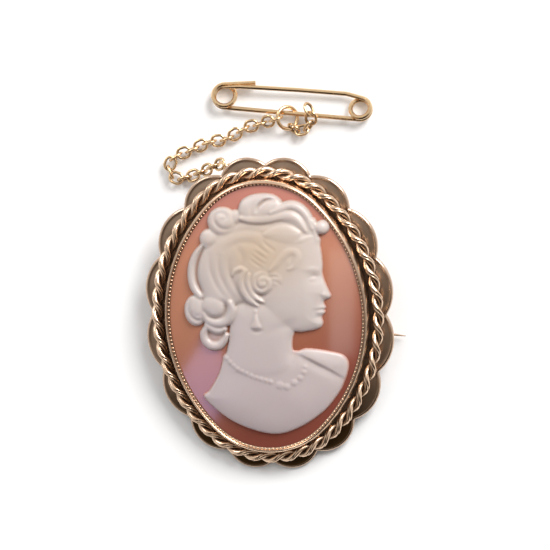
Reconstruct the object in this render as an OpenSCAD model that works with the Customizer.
// Oval shell cameo brooch in a scalloped gold frame with a rope border, lying face up,
// with its safety chain and safety pin laid out above it.
// X runs to the right of the face, Y to its top, Z up from the surface that it lies on.

/* [Cameo] */
// Width of the shell oval across its edge
cameo_w = 29.2; // [24:0.1:34]
// Height of the shell oval
cameo_h = 39.5; // [36:0.1:44]
// Thickness of the shell at its edge
shell_edge_t = 1.5; // [1:0.1:2]
// Rise of the domed ground from edge to crown
dome_rise = 2.3; // [1.5:0.1:3]
// Thickness of the shell ground at the crown
shell_crown_t = 2.0; // [1.4:0.1:2.6]
// Height of the carved bust over the ground at its edge
relief_edge_h = 0.55; // [0.3:0.05:0.9]
// Further swell of the bust from its edge to its middle
relief_swell_h = 0.6; // [0.3:0.05:1]

/* [Bezel] */
// Thickness of the bezel wall
bezel_wall = 0.35; // [0.25:0.05:0.5]
// Clearance between the shell's edge and the bezel
seat_gap = 0.05; // [0.02:0.01:0.12]
// Width of the turned-over rim on the face of the shell
rim_over = 0.5; // [0.3:0.05:0.8]
// Width of the bearer ledge under the shell
bearer_w = 1.3; // [0.8:0.1:2]
// Height of the bearer over the frame's back
bearer_h = 1.55; // [1.3:0.05:2.5]
// Thickness of the turned-over rim
rim_t = 0.4; // [0.3:0.05:0.6]

/* [Rope] */
// Diameter of each of the two twisted wires
rope_wire_d = 0.84; // [0.7:0.02:0.96]
// Full turns of the twist around the oval
rope_turns = 22; // [18:1:26]
// Space between bezel and rope at the sides
rope_gap_side = 0.5; // [0.4:0.05:0.8]
// Space between bezel and rope at top and bottom
rope_gap_end = 0.05; // [0.05:0.05:0.3]
// Height of the rope's centre over the frame's back
rope_mid_h = 1.9; // [1.7:0.05:2.3]

/* [Scallops] */
// Number of scallops around the frame
petal_count = 16; // [12:4:20]
// Distance that a scallop's tip stands out past the notches
petal_reach = 1.28; // [1:0.02:1.6]
// Space between the rope and the notches
notch_gap = 0.08; // [0:0.02:0.3]
// Height of the scallops' lip over the frame's back
lip_h = 0.75; // [0.6:0.05:1]
// Width of the lip
lip_w = 0.3; // [0.2:0.05:0.5]
// Thickness of the sheet under the dished face
sheet_t = 0.35; // [0.25:0.05:0.5]
// Radius of the dish's rise to the lip, and width of the bevel under it
dish_bevel = 0.8; // [0.6:0.05:1]

/* [Pin fittings] */
// Height of the hinge and the catch under the frame's back
fitting_h = 3.0; // [2.6:0.1:3.6]
// Radius of the pin stem
pin_r = 0.42; // [0.35:0.01:0.5]
// Length of the pin's tapered point
pin_point_l = 5; // [3:0.5:8]
// Distance that the pin's tip stands out past the frame
pin_past = 1.4; // [0.5:0.1:2]
// Distance from the middle of the brooch to the hinge
hinge_x = 14.6; // [13.5:0.1:15.2]
// Distance from the middle of the brooch to the catch
catch_x = 14.8; // [13.5:0.1:15.5]
// Angle of the pin across the back, falling to the right
pin_fall = 6; // [0:0.5:8]
// Distance from the brooch's middle line to the hinge
hinge_y = 0; // [-1:0.1:1]
// Radius of the hinge's rounded ears
ear_r = 0.75; // [0.7:0.05:0.75]
// Thickness of each ear of the hinge
ear_t = 0.7; // [0.5:0.05:0.9]
// Width of the pin's eye between the ears
eye_w = 1.2; // [0.9:0.1:1.6]
// Radius of the rivet through the ears
rivet_r = 0.35; // [0.25:0.05:0.4]
// Clearance of the eye on its rivet and between the ears
eye_gap = 0.05; // [0.03:0.01:0.1]
// Width of the catch along the pin
catch_w = 2.2; // [1.6:0.1:3]
// Thickness of the strip that the catch is bent from
catch_t = 0.45; // [0.35:0.05:0.6]
// Clearance between the pin and the catch
catch_gap = 0.1; // [0.05:0.01:0.2]

/* [Safety chain] */
// Diameter of the wire of a chain link
link_wire_d = 0.42; // [0.36:0.02:0.46]
// Length of the hole in a link
link_hole_l = 1.52; // [1.46:0.02:1.7]
// Width of the hole in a link
link_hole_w = 1.14; // [1.06:0.02:1.3]
// Slack left at each joint of the chain
link_slack = 0.14; // [0.1:0.02:0.24]
// Radius of the soldered ring on the frame, to the middle of its wire
frame_ring_r = 0.75; // [0.65:0.05:0.9]
// Diameter of the wire of the soldered ring
frame_ring_d = 0.45; // [0.35:0.05:0.5]
// Radius of the ring on the safety pin, to the middle of its wire
pin_ring_r = 1.6; // [1.5:0.05:1.8]
// Diameter of that ring's wire
pin_ring_d = 0.54; // [0.4:0.02:0.56]

/* [Safety pin] */
// Diameter of the safety pin's wire
wire_d = 0.68; // [0.56:0.02:0.7]
// Distance between the middles of its two coils
coil_span = 20.15; // [18:0.05:22]
// Radius of the catch coil, to the middle of the wire
catch_coil_r = 1.6; // [1.5:0.05:1.8]
// Radius of the spring coil, to the middle of the wire
spring_coil_r = 1.45; // [1.3:0.05:1.6]
// Rise of the wire in one turn of a coil
coil_rise = 0.76; // [0.74:0.01:0.9]
// Length of the free end of the wire over the catch
free_end_l = 4.4; // [3:0.1:6]

/* [Hidden] */
$fn = 96;

// Levels of the frame, from the bottom of the pin fittings upwards
back_z = fitting_h;
pin_z = pin_r + catch_gap + catch_t;
lip_z = back_z + lip_h;
floor_z = back_z + sheet_t;
seat_z = back_z + bearer_h;
edge_top_z = seat_z + seat_gap + shell_edge_t;
rim_under_z = edge_top_z + 4 * dome_rise * rim_over / cameo_w + seat_gap;
ridge_z = rim_under_z + rim_t;
rope_z = back_z + rope_mid_h;

// Half widths and half heights of the nested ovals
bezel_x = cameo_w / 2 + seat_gap + bezel_wall;
bezel_y = cameo_h / 2 + seat_gap + bezel_wall;
rope_x = bezel_x + rope_gap_side + rope_wire_d;
rope_y = bezel_y + rope_gap_end + rope_wire_d;
notch_x = rope_x + rope_wire_d + notch_gap;
notch_y = rope_y + rope_wire_d + notch_gap;
tip_x = notch_x + petal_reach;
tip_y = notch_y + petal_reach;

// An oval is four arcs that meet at 45 degrees. These give the distance of the side
// arcs' centres from the middle, which is also that of the end arcs' centres.
function oval_shift(x, y) = (y - x) / (2 - sqrt(2));

// A place on the oval at a share s of the way round, with the outward direction there
function oval_at(x, y, s) =
    let (c = oval_shift(x, y),
         side_l = (x + c) * PI / 2,
         end_l = (y - c) * PI / 2,
         way = (s - floor(s)) * 2 * (side_l + end_l),
         half = way < side_l + end_l ? 0 : 1,
         rest = way - half * (side_l + end_l),
         on_side = rest < side_l,
         turn = half * 180 + (on_side ? rest / side_l * 90 - 45 : (rest - side_l) / end_l * 90 + 45),
         sign = half == 0 ? 1 : -1,
         middle = on_side ? [-c * sign, 0] : [0, c * sign],
         r = on_side ? x + c : y - c)
    [middle[0] + r * cos(turn), middle[1] + r * sin(turn), cos(turn), sin(turn)];

// Sweeps a profile of (outward, up) once round an oval
module oval_ring(x, y) {
    c = oval_shift(x, y);
    for (half = [0, 1]) rotate([0, 0, half * 180]) {
        translate([-c, 0, 0]) rotate_extrude(angle = 90, start = -45) translate([x + c, 0]) children();
        translate([0, c, 0]) rotate_extrude(angle = 90, start = 45) translate([y - c, 0]) children();
    }
}

// A flat oval slab
module oval_slab(x, y, h) {
    c = oval_shift(x, y);
    for (half = [0, 1]) rotate([0, 0, half * 180]) {
        translate([-c, 0, 0]) rotate_extrude(angle = 90, start = -45) square([x + c, h]);
        translate([0, c, 0]) rotate_extrude(angle = 90, start = 45) square([y - c, h]);
    }
}

// Scallops. Each is a disc whose rim runs through two notches and the tip between them.
function notch(i) = let (t = i * 360 / petal_count) [notch_x * cos(t), notch_y * sin(t)];
function tip(i) = let (t = (i + 0.5) * 360 / petal_count) [tip_x * cos(t), tip_y * sin(t)];
function circle_through(p, q, r) =
    let (a = q - p, b = r - p, d = 2 * (a[0] * b[1] - a[1] * b[0]),
         ux = (b[1] * (a * a) - a[1] * (b * b)) / d,
         uy = (a[0] * (b * b) - b[0] * (a * a)) / d)
    [p[0] + ux, p[1] + uy, norm([ux, uy])];
petals = [for (i = [0:petal_count - 1]) circle_through(notch(i), tip(i), notch(i + 1))];

module petal_body(r) {
    rotate_extrude() polygon([[0, back_z], [r - dish_bevel, back_z], [r, floor_z], [r, lip_z], [0, lip_z]]);
}

module petal_dish(r) {
    in_r = r - lip_w;
    rotate_extrude() polygon([
        [0, floor_z],
        for (k = [0:4]) let (a = k * 18)
            [in_r - dish_bevel * (1 - sin(a)), floor_z + (lip_z - floor_z) * (1 - cos(a))],
        [in_r, lip_z + 1],
        [0, lip_z + 1]]);
}

module scallops() {
    difference() {
        for (p = petals) translate([p[0], p[1], 0]) petal_body(p[2]);
        for (p = petals) translate([p[0], p[1], 0]) petal_dish(p[2]);
        hole_x = bezel_x - bezel_wall - bearer_w / 2;
        hole_y = bezel_y - bezel_wall - bearer_w / 2;
        translate([0, 0, back_z - 1]) oval_slab(hole_x, hole_y, lip_h + 2);
    }
}

// Bezel wall, its turned-over rim and the bearer that the shell rests on
module bezel() {
    oval_ring(bezel_x, bezel_y) polygon([
        [0, back_z], [0, ridge_z - 0.4 * rim_t], [-0.3 * bezel_wall, ridge_z], [-0.8 * bezel_wall, ridge_z],
        [-bezel_wall - rim_over, rim_under_z + 0.4 * rim_t], [-bezel_wall - rim_over, rim_under_z],
        [-bezel_wall, rim_under_z], [-bezel_wall, seat_z],
        [-bezel_wall - bearer_w, seat_z], [-bezel_wall - bearer_w, back_z]]);
}

// Flat step that the rope is soldered to. Its many short sides lie under the rope.
rope_sink = rope_wire_d / 6;
step_sides = 88;
module rope_step() {
    step_w = rope_x - bezel_x + bezel_wall / 2;
    places = [for (i = [0:step_sides - 1]) oval_at(rope_x, rope_y, i / step_sides)];
    translate([0, 0, back_z]) linear_extrude(rope_mid_h - rope_wire_d + rope_sink) difference() {
        polygon([for (at = places) [at[0], at[1]]]);
        polygon([for (at = places) [at[0] - step_w * at[2], at[1] - step_w * at[3]]]);
    }
}

// Two wires twisted round each other, swept as one section with a waist
rope_steps_per_turn = 8;
// Its sections stand beside the corners of the step, not on them
rope_start = 0.3;
lobe_angles = [-145, -85, -30, 30, 85, 145];
module rope() {
    n = rope_turns * rope_steps_per_turn;
    r = rope_wire_d / 2;
    section = [for (side = [0, 180]) for (a = lobe_angles)
        [r * cos(side) + r * cos(side + a), r * sin(side + a)]];
    m = len(section);
    points = [for (i = [0:n - 1])
        let (at = oval_at(rope_x, rope_y, (i + rope_start) / n), twist = i * 360 / rope_steps_per_turn)
        for (q = section)
            let (out = q[0] * cos(twist) - q[1] * sin(twist), up = q[0] * sin(twist) + q[1] * cos(twist))
            [at[0] + out * at[2], at[1] + out * at[3], rope_z + up]];
    faces = [for (i = [0:n - 1]) for (j = [0:m - 1])
        let (i2 = (i + 1) % n, j2 = (j + 1) % m)
        for (f = [[i * m + j, i2 * m + j2, i2 * m + j], [i * m + j, i * m + j2, i2 * m + j2]]) f];
    polyhedron(points, faces);
}

// Places its children in the pin's own frame: X along the pin from the hinge, Z up
module pin_frame() {
    translate([-hinge_x, hinge_y, pin_z]) rotate([0, 0, -pin_fall]) children();
}

catch_at = (catch_x + hinge_x) / cos(pin_fall);

module hinge_ears() {
    half_gap = eye_w / 2 + eye_gap;
    rise = back_z - pin_z + sheet_t / 2;
    pin_frame() {
        for (side = [-1, 1]) translate([0, side * (half_gap + ear_t / 2), 0]) {
            rotate([90, 0, 0]) cylinder(r = ear_r, h = ear_t, center = true);
            translate([0, 0, rise / 2]) cube([2 * ear_r, ear_t, rise], center = true);
        }
        rotate([90, 0, 0]) cylinder(r = rivet_r, h = 2 * half_gap + ear_t, center = true);
    }
}

module catch_hook() {
    out_r = pin_r + catch_gap + catch_t;
    in_r = pin_r + catch_gap;
    rise = back_z - pin_z + sheet_t / 2;
    pin_frame() translate([catch_at - catch_w / 2, 0, 0]) difference() {
        union() {
            rotate([0, 90, 0]) cylinder(r = out_r, h = catch_w);
            translate([0, -out_r, 0]) cube([catch_w, 2 * out_r, rise]);
        }
        translate([-1, 0, 0]) rotate([0, 90, 0]) cylinder(r = in_r, h = catch_w + 2);
        translate([-1, -in_r, 0]) cube([catch_w + 2, 2 * in_r, rise + 1]);
        translate([-1, -out_r - 1, pin_r]) cube([catch_w + 2, out_r + 1, rise]);
    }
}

// Ring for the chain, soldered under the scallop at the upper left
frame_ring_petal = petals[4];
frame_ring_way = 143;
frame_ring_in = 1.5;
ring_spot = [frame_ring_petal[0], frame_ring_petal[1]]
    + (frame_ring_petal[2] - frame_ring_in) * [cos(frame_ring_way), sin(frame_ring_way)];
ring_z = back_z - 0.6 * frame_ring_r;
module frame_ring() {
    translate([ring_spot[0], ring_spot[1], ring_z]) rotate([0, 0, frame_ring_way]) rotate([90, 0, 0])
        rotate_extrude(angle = 250, start = 145) translate([frame_ring_r, 0]) circle(d = frame_ring_d, $fn = 32);
}

module setting() {
    color("#b98c5a") brooch_pose() {
        scallops();
        bezel();
        rope_step();
        rope();
        hinge_ears();
        catch_hook();
        frame_ring();
    }
}

// Pin: an eye on the rivet, a round stem and a tapered point
pin_tip_x = tip_x * cos(180 / petal_count) + pin_past;
pin_l = (pin_tip_x + hinge_x) / cos(pin_fall);
module pin_stem() {
    color("#c8a06a") brooch_pose() pin_frame() difference() {
        union() {
            rotate([90, 0, 0]) cylinder(r = ear_r, h = eye_w, center = true);
            rotate([0, 90, 0]) cylinder(r = pin_r, h = pin_l - pin_point_l);
            translate([pin_l - pin_point_l, 0, 0]) rotate([0, 90, 0])
                cylinder(r1 = pin_r, r2 = 0.06, h = pin_point_l);
        }
        rotate([90, 0, 0]) cylinder(r = rivet_r + eye_gap, h = eye_w + 2, center = true);
    }
}

// How the brooch lies: it leans back on its hinge and catch until a lower scallop touches
hinge_at = [-15.2, -5.1];
brooch_turn = 0;
pin_side = [sin(pin_fall), cos(pin_fall)];
rim_down = max([for (p = petals)
    p[2] - dish_bevel - (p[0] + hinge_x) * pin_side[0] - (p[1] - hinge_y) * pin_side[1]]);
rim_up = back_z - pin_z;
lean = atan(rim_up / rim_down) + asin(pin_z / norm([rim_up, rim_down]));

module brooch_pose() {
    translate([hinge_at[0], hinge_at[1], pin_z]) rotate([0, 0, brooch_turn - pin_fall]) rotate([lean, 0, 0])
        rotate([0, 0, pin_fall]) translate([hinge_x, -hinge_y, -pin_z]) children();
}

// The same placing for one point
function turn_z(p, a) = [p[0] * cos(a) - p[1] * sin(a), p[0] * sin(a) + p[1] * cos(a), p[2]];
function turn_x(p, a) = [p[0], p[1] * cos(a) - p[2] * sin(a), p[1] * sin(a) + p[2] * cos(a)];
function posed(p) =
    turn_z(turn_x(turn_z(p + [hinge_x, -hinge_y, -pin_z], pin_fall), lean), brooch_turn - pin_fall)
    + [hinge_at[0], hinge_at[1], pin_z];

// Distance from a point to the oval's edge in a direction, found by halving
function in_oval(p, x, y) =
    let (c = oval_shift(x, y), q = [abs(p[0]), abs(p[1])])
    q[1] < q[0] + c ? norm(q + [c, 0]) < x + c : norm(q - [0, c]) < y - c;
function reach(from, turn, x, y, low = 0, high = 60, step = 22) =
    step == 0 ? (low + high) / 2 :
    let (mid = (low + high) / 2, inside = in_oval(from + mid * [cos(turn), sin(turn)], x, y))
    reach(from, turn, x, y, inside ? mid : low, inside ? high : mid, step - 1);

// Cameo. Rings of points run round the neck of the bust, from the hollow underside over
// the edge and the domed ground to the outline of the figure and up its relief.
shell_x = cameo_w / 2;
shell_y = cameo_h / 2;
neck = [0.01, -0.1];
neck_at = [neck[0] * cameo_w, neck[1] * cameo_h];

// Outline of the figure: a direction from the neck in degrees, and the distance from it
// as a share of half the shell's height
ANGLE = 0;
FAR = 1;
figure_outline = [
    [0, 0.185], [12, 0.2], [25, 0.31], [38, 0.44], [50, 0.56], [60, 0.66], [70, 0.76], [80, 0.82], [90, 0.83],
    [100, 0.8], [110, 0.76], [120, 0.7], [130, 0.66], [140, 0.6], [150, 0.55], [160, 0.52], [170, 0.46],
    [180, 0.34], [190, 0.36], [200, 0.42], [210, 0.46], [222, 0.5], [232, 0.56], [245, 0.58], [260, 0.62],
    [275, 0.64], [290, 0.62], [305, 0.62], [320, 0.62], [332, 0.62], [340, 0.58], [347, 0.42], [354, 0.24],
    [360, 0.185]];

// Swellings of the relief: a direction and distance from the neck as above, the radius as
// a share of half the shell's height, and the height over the relief's general level
WIDE = 2;
UP = 3;
swellings = [
    [62, 0.4, 0.2, 0.35],
    [97, 0.7, 0.18, 0.5],
    [118, 0.6, 0.13, 0.5],
    [138, 0.48, 0.15, 0.5],
    [160, 0.36, 0.16, 0.4],
    [92, 0.27, 0.1, 0.5],
    [255, 0.35, 0.35, 0.3],
    [320, 0.36, 0.25, 0.4]];

sectors = 96;
function along(angle) = [cos(angle), sin(angle)];
function shell_share(p) = norm(p) / reach([0, 0], atan2(p[1], p[0]), shell_x, shell_y);
function ground_z(p) = edge_top_z + dome_rise * (1 - pow(min(1, shell_share(p)), 2));
function hollow_z(p) =
    seat_z + seat_gap + (dome_rise + shell_edge_t - shell_crown_t) * (1 - pow(min(1, shell_share(p) * 1.1), 2));
function bump(p, b) =
    let (d = norm(p - neck_at - b[FAR] * shell_y * along(b[ANGLE])) / (b[WIDE] * shell_y))
    d < 1 ? b[UP] * pow(1 - d * d, 2) : 0;
function figure_r(angle) = shell_y * lookup(angle, figure_outline);

// One ring: each point lies a share of the way from the neck to a border, at a height
function ring_points(kind, share) = [for (k = [0:sectors - 1])
    let (a = k * 360 / sectors,
         edge_r = reach(neck_at, a, shell_x, shell_y),
         fig_r = figure_r(a),
         r = kind == "under" ? share * edge_r :
             kind == "ground" ? fig_r + share * (edge_r - fig_r) : share * fig_r,
         p = neck_at + r * along(a))
    [p[0], p[1],
        kind == "under" ? (share > 0.87 ? seat_z + seat_gap : hollow_z(p)) :
        kind == "ground" ? ground_z(p) :
        ground_z(p) + relief_edge_h + relief_swell_h * (1 - pow(share, 3)) + max([for (b = swellings) bump(p, b)])]];

shell_rings = [
    ["under", 0.35], ["under", 0.7], ["under", 0.87], ["under", 0.9], ["under", 1],
    ["ground", 1], ["ground", 0.8], ["ground", 0.55], ["ground", 0.25], ["ground", 0.015],
    ["figure", 1], ["figure", 0.96], ["figure", 0.9], ["figure", 0.81], ["figure", 0.7],
    ["figure", 0.58], ["figure", 0.45], ["figure", 0.3], ["figure", 0.15]];

// Joins rings of equal count into a closed skin, with a point in the middle of each end
module skin(rings, first, last) {
    n = len(rings);
    m = len(rings[0]);
    points = concat([for (r = rings) for (p = r) p], [first, last]);
    walls = [for (i = [0:n - 2]) for (j = [0:m - 1])
        let (j2 = (j + 1) % m, a = i * m + j, b = i * m + j2, c = a + m, d = b + m)
        for (f = [[a, c, d], [a, d, b]]) f];
    ends = [for (j = [0:m - 1]) let (j2 = (j + 1) % m)
        for (f = [[j, j2, n * m], [(n - 1) * m + j2, (n - 1) * m + j, n * m + 1]]) f];
    polyhedron(points, concat(walls, ends));
}

module cameo() {
    rings = [for (r = shell_rings) ring_points(r[0], r[1])];
    top = ground_z(neck_at) + relief_edge_h + relief_swell_h + max([for (b = swellings) bump(neck_at, b)]);
    color("#e8c9b4") brooch_pose()
        skin(rings, [neck_at[0], neck_at[1], hollow_z(neck_at)], [neck_at[0], neck_at[1], top]);
}

// Safety pin: one bent wire. Its path is in its own frame, with X along it from the
// middle of the catch coil, its arm at +Y and the coils rising in Z.
coil_step = 18;
function coil_path(middle, r, from, to, z_from, z_to) =
    let (n = round(abs(to - from) / coil_step))
    [for (k = [0:n]) let (a = from + (to - from) * k / n)
        [middle[0] + r * cos(a), middle[1] + r * sin(a), z_from + (z_to - z_from) * k / n]];
wire_low = wire_d / 2;
wire_high = wire_low + 1.5 * coil_rise;
spring_y = spring_coil_r - catch_coil_r;
arm_path = [[-0.4, 0.95, wire_high + 0.4], [0.5, 1.08, wire_high + 0.38], [2.2, 1.28, wire_high + 0.3],
    [4.4, 1.43, wire_high + 0.2], [11, 1.66, wire_high + 0.08], [17.9, 1.75, wire_high]];
wire_path = concat(
    arm_path,
    coil_path([coil_span, spring_y], spring_coil_r, 78, -450, wire_high, wire_low),
    coil_path([0, 0], catch_coil_r, -90, -630, wire_low, wire_high),
    [[free_end_l, catch_coil_r + 0.6, wire_high + 0.04]]);
arm_point = [0.08, 0.2, 0.28, wire_d / 2];
safety_pin_at = [-7.76, 25.84];
safety_pin_turn = -5;
safety_pin_lean = 19;
safety_pin_lift = wire_d / 2 - min([for (p = wire_path) turn_x(p, -safety_pin_lean)[2]]);

function unit(v) = v / norm(v);
function ring_round(p, way, r, sides) =
    let (side = unit(cross(way, [0, 0, 1])), up = cross(side, way))
    [for (k = [0:sides - 1]) let (a = (k + 0.5) * 360 / sides) p + r * cos(a) * side + r * sin(a) * up];

module safety_pin() {
    n = len(wire_path);
    rings = [for (i = [0:n - 1])
        let (way = unit(wire_path[min(i + 1, n - 1)] - wire_path[max(i - 1, 0)]),
             r = i < len(arm_point) ? arm_point[i] : wire_d / 2)
        ring_round(wire_path[i], way, r, 8)];
    color("#cfa354") translate([safety_pin_at[0], safety_pin_at[1], safety_pin_lift])
        rotate([0, 0, safety_pin_turn]) rotate([-safety_pin_lean, 0, 0])
            skin(rings, wire_path[0], wire_path[n - 1]);
}

// Jump ring that hangs the safety pin on the chain. It leans on the surface, left side up,
// with the safety pin's straight wire through it.
pin_ring_lean = 36;
pin_ring_at = [1.6, 22.92, pin_ring_r * sin(pin_ring_lean) + pin_ring_d / 2];
module pin_ring() {
    color("#cfa354") translate(pin_ring_at) rotate([0, pin_ring_lean, 0])
        rotate_extrude() translate([pin_ring_r, 0]) circle(d = pin_ring_d, $fn = 32);
}

// Points that the chain passes through, from the frame's ring to the jump ring
chain_start = let (p = ring_spot + (frame_ring_r - link_wire_d - link_slack / 2) * along(frame_ring_way))
    posed([p[0], p[1], ring_z]);
chain_route = [
    chain_start, [-6.95, 16.2, 4.5], [-8.35, 16.1, 3.4], [-10.25, 15.3, 2.2], [-11.85, 14.7, 1.2],
    [-13.35, 14.2, 1], [-14.65, 13.9, 1], [-15.65, 14.5, 1], [-16.05, 15.6, 1], [-15.65, 16.8, 1],
    [-14.55, 17.6, 1], [-13.25, 18, 1], [-12.05, 18.5, 1], [-10.95, 19.1, 1], [-9.75, 19.5, 1],
    [-8.55, 19.6, 1], [-7.25, 19.9, 1], [-5.95, 20.7, 1], [-4.65, 21.5, 1], [-3.15, 21.9, 1],
    [-1.65, 22.3, 1.3], [-0.45, 22.6, 1.85], [0.62, 22.93, 2.25]];

// Points of the short tail that hangs from the jump ring over the safety pin's wire
tail_route = [
    pin_ring_at + [0.33, -1.25, -0.45], [3.15, 21, 1.05], [4.45, 21.3, 1.15], [5.15, 22.25, 1.5], [5.15, 23.65, 2.12],
    [4.65, 24.7, 2.05]];
tail_rolls = [55, -30, 75, -10, 60];

// A smooth curve through the points, sampled finely, with the distance run so far
route_steps = 12;
function curve_point(a, b, c, d, t) =
    0.5 * (2 * b + (c - a) * t + (2 * a - 5 * b + 4 * c - d) * t * t + (3 * b - a - 3 * c + d) * t * t * t);
function curve(route) =
    let (n = len(route))
    [for (i = [0:n - 2]) for (k = [0:(i == n - 2 ? route_steps : route_steps - 1)])
        curve_point(route[max(i - 1, 0)], route[i], route[i + 1], route[min(i + 2, n - 1)], k / route_steps)];
function run_so_far(path) =
    [for (i = 0, run = 0; i < len(path); i = i + 1, run = run + (i < len(path) ? norm(path[i] - path[i - 1]) : 0)) run];

// The crossings where link meets link, at equal steps along the curve. The number of links
// is a multiple, so that a chain of even count starts with a lying link and ends standing.
link_pitch = link_hole_l - link_slack;
function crossings(route, multiple) =
    let (path = curve(route), run = run_so_far(path), total = run[len(run) - 1], n = multiple * ceil(total / link_pitch / multiple),
         tables = [for (axis = [0:2]) [for (i = [0:len(path) - 1]) [run[i], path[i][axis]]]])
    [for (i = [0:n]) [for (axis = [0:2]) lookup(total * i / n, tables[axis])]];
chain_crossings = crossings(chain_route, 2);
tail_crossings = crossings(tail_route, 1);
chain_count = len(chain_crossings) - 1;
tail_count = len(tail_crossings) - 1;

// One oval link round the middle of its own frame, long way along X, lying flat
module link() {
    bow_r = (link_hole_w + link_wire_d) / 2;
    side_l = link_hole_l - link_hole_w;
    for (end = [-1, 1]) {
        translate([end * side_l / 2, 0, 0]) rotate([0, 0, -90 * end])
            rotate_extrude(angle = 180) translate([bow_r, 0]) circle(d = link_wire_d, $fn = 32);
        translate([0, end * bow_r, 0]) rotate([0, 90, 0]) cylinder(d = link_wire_d, h = side_l, center = true);
    }
}

// Turns of the links about their own length: standing and lying by turns
link_rolls = [98, 12];
module placed_link(from, to, roll) {
    way = to - from;
    color("#cfa354") translate((from + to) / 2) rotate([0, -asin(way[2] / norm(way)), atan2(way[1], way[0])])
        rotate([roll, 0, 0]) link();
}

function two_digits(i) = str(i < 10 ? "0" : "", i);
chain_names = [for (i = [1:chain_count]) str("chain_link_", two_digits(i))];
tail_names = [for (i = [1:tail_count]) str("tail_link_", i)];
setting();
cameo();
pin_stem();
pin_ring();
safety_pin();
for (i = [1:chain_count]) placed_link(chain_crossings[i - 1], chain_crossings[i], link_rolls[i % 2]);
for (i = [1:tail_count]) placed_link(tail_crossings[i - 1], tail_crossings[i], tail_rolls[(i - 1) % len(tail_rolls)]);
